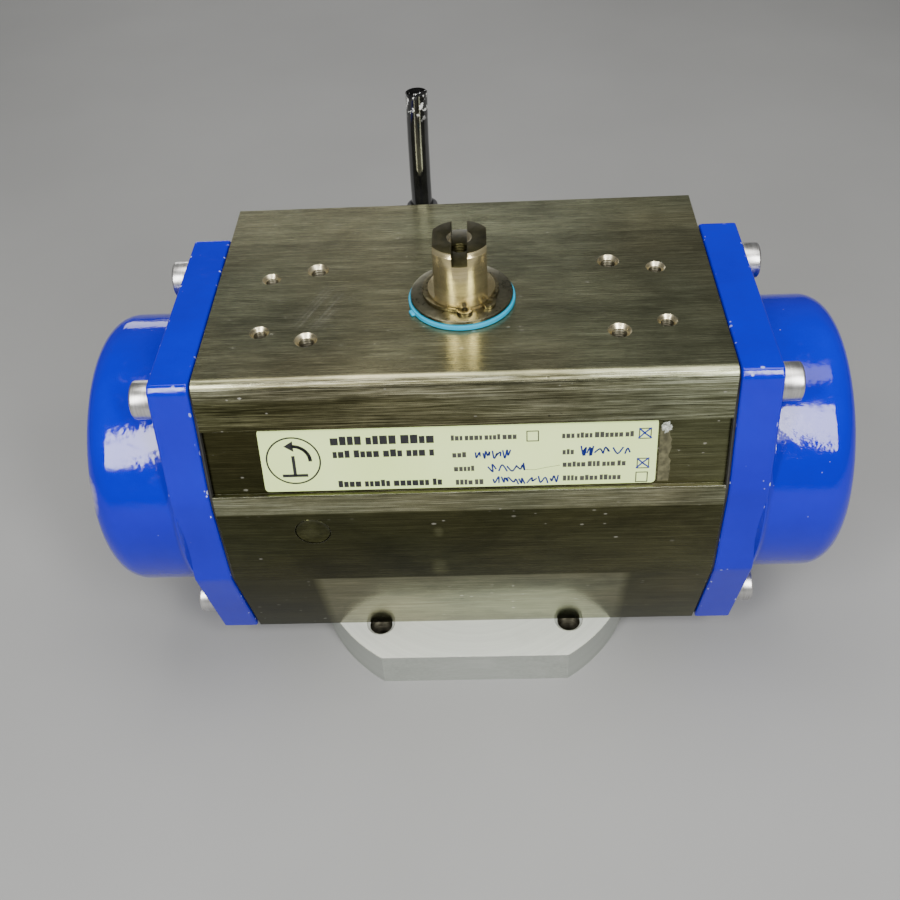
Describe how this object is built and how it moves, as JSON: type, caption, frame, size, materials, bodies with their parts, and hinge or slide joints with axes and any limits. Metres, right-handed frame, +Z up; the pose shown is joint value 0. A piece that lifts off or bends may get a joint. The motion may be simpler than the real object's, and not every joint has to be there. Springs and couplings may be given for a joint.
{
  "type": "rotary pneumatic actuator",
  "caption": "Quarter-turn pneumatic actuator: extruded body with domed end caps, geared output shaft driven by two opposed sprung pistons, flange plate below",
  "frame": {"origin": "on the output shaft's axis, at the underside of the mounting plate, in the middle of the valve bolt circle", "axes": "+X along the cylinder towards the right end cap, +Y towards the rear port block, +Z up along the output shaft"},
  "size_m": [0.2536, 0.1368, 0.177],
  "materials": {
    "body_aluminium": "ground extruded aluminium, brushed along the cylinder, darkened",
    "plate_aluminium": "machined bright aluminium",
    "zinc_steel": "zinc plated steel",
    "blue_paint": "gloss blue paint on cast aluminium",
    "stainless_screw": "satin stainless steel",
    "black_rubber": "black nitrile rubber",
    "white_plastic": "natural acetal",
    "blue_plastic": "light blue acetal",
    "label_film": "printed film",
    "plug_aluminium": "dark aluminium",
    "shaft_steel": "nickel plated steel",
    "washer_steel": "stainless steel, dulled",
    "spring_steel": "dark spring steel",
    "piston_aluminium": "cast and turned aluminium",
    "fitting_plastic": "black glass-filled plastic",
    "hose_plastic": "gloss black polyamide"
  },
  "bodies": {
    "housing": {"body": "body_aluminium", "mounting_plate": "plate_aluminium", "plate_screws": "zinc_steel", "left_end_cap": "blue_paint", "right_end_cap": "blue_paint", "left_cap_screws": "stainless_screw", "right_cap_screws": "stainless_screw", "left_gasket": "black_rubber", "right_gasket": "black_rubber", "top_bearing": "white_plastic", "bottom_bearing": "white_plastic", "thrust_washer": "blue_plastic", "label": "label_film", "channel_plug": "plug_aluminium", "fitting_seal": "black_rubber", "left_outer_spring": "spring_steel", "right_outer_spring": "spring_steel", "left_inner_spring": "spring_steel", "right_inner_spring": "spring_steel"},
    "output_shaft": {"pinion": "shaft_steel", "steel_washer": "washer_steel", "circlip": "spring_steel", "pinion_upper_oring": "black_rubber", "pinion_lower_oring": "black_rubber"},
    "left_piston_set": {"left_piston": "piston_aluminium", "left_piston_oring": "black_rubber", "left_guide_ring": "white_plastic", "left_rack_pad": "white_plastic"},
    "right_piston_set": {"right_piston": "piston_aluminium", "right_piston_oring": "black_rubber", "right_guide_ring": "white_plastic", "right_rack_pad": "white_plastic"},
    "swivel_elbow": {"elbow_fitting": "fitting_plastic", "tube_seal": "black_rubber", "air_hose": "hose_plastic"},
    "collet": {"release_collet": "fitting_plastic"}
  },
  "joints": [
    {"name": "shaft_turn", "type": "hinge", "parent": "housing", "child": "output_shaft", "pos_m": [0, 0, 0.078], "axis": [0, 0, 1], "range_deg": [0, 90], "stiffness_Nm_per_rad": 1.5, "springref_deg": -20.05},
    {"name": "left_piston_slide", "type": "slide", "parent": "housing", "child": "left_piston_set", "axis": [-1, 0, 0], "range_m": [0, 0.0221], "deforming": ["left_outer_spring", "left_inner_spring"]},
    {"name": "right_piston_slide", "type": "slide", "parent": "housing", "child": "right_piston_set", "axis": [1, 0, 0], "range_m": [0, 0.0221], "deforming": ["right_outer_spring", "right_inner_spring"]},
    {"name": "elbow_swivel", "type": "hinge", "parent": "housing", "child": "swivel_elbow", "pos_m": [-0.016, 0.077, 0.104], "axis": [0, 1, 0], "range_deg": [-90, 90]},
    {"name": "collet_press", "type": "slide", "parent": "swivel_elbow", "child": "collet", "axis": [0, 0, -1], "range_m": [0, 0.0012], "stiffness_N_per_m": 500, "springref_m": -0.0005}
  ],
  "couplings": [
    {"joint": "left_piston_slide", "follows": "shaft_turn", "m_per_rad": 0.014},
    {"joint": "right_piston_slide", "follows": "shaft_turn", "m_per_rad": 0.014}
  ]
}
